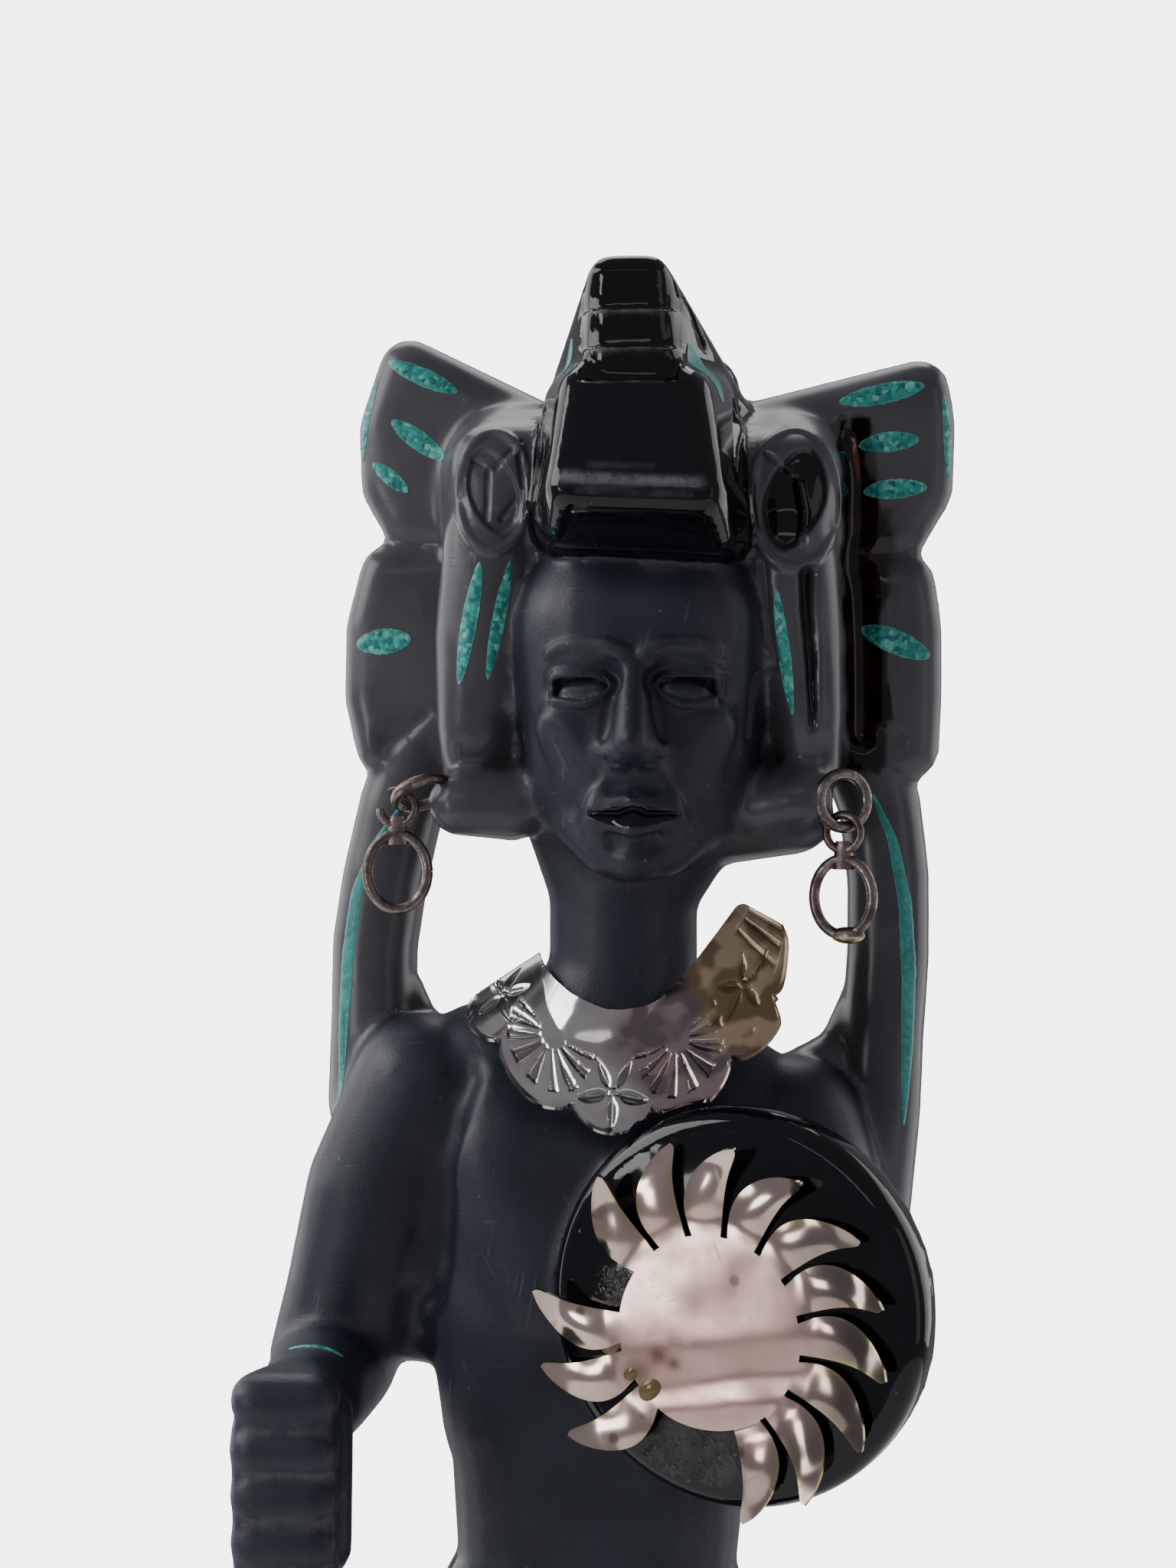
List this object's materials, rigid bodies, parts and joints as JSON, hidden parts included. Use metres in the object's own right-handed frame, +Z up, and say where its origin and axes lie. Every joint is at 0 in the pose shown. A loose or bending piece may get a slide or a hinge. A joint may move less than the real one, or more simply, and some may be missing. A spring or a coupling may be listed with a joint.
{
  "type": "deity figurine",
  "caption": "Standing warrior deity in an animal headdress, carved in black volcanic glass with flush malachite inlays, a silver collar, a sun shield and hooped ear pendants.",
  "frame": {"origin": "centre of the underside of the base", "axes": "+Z up along the figure, -Y towards the viewer it faces, +X to that viewer's right"},
  "size_m": [0.0896, 0.0635, 0.2996],
  "materials": {
    "black_volcanic_glass": "part matt, part polished",
    "stamped_silver": "polished and stamped",
    "tarnished_silver": "tarnished",
    "malachite": "polished flush",
    "dull_silver_wire": "oxidised"
  },
  "bodies": {
    "root": {"carved_figure": "black_volcanic_glass", "silver_collar": "stamped_silver", "shield_sun": "tarnished_silver", "inlay_upper_lobe_left_1": "malachite", "inlay_upper_lobe_left_2": "malachite", "inlay_upper_lobe_left_3": "malachite", "inlay_upper_lobe_right_1": "malachite", "inlay_upper_lobe_right_2": "malachite", "inlay_upper_lobe_right_3": "malachite", "inlay_lower_lobe_left": "malachite", "inlay_lower_lobe_right": "malachite", "inlay_cheek_left_1": "malachite", "inlay_cheek_left_2": "malachite", "inlay_cheek_right": "malachite", "inlay_edge_left": "malachite", "inlay_edge_right": "malachite", "inlay_crest_left": "malachite", "inlay_crest_right": "malachite", "inlay_tail_left": "malachite", "inlay_tail_right": "malachite", "inlay_wrist": "malachite", "jump_ring_left": "dull_silver_wire", "jump_ring_right": "dull_silver_wire", "ear_pendant_left": "dull_silver_wire", "ear_pendant_right": "dull_silver_wire"}
  },
  "joints": []
}
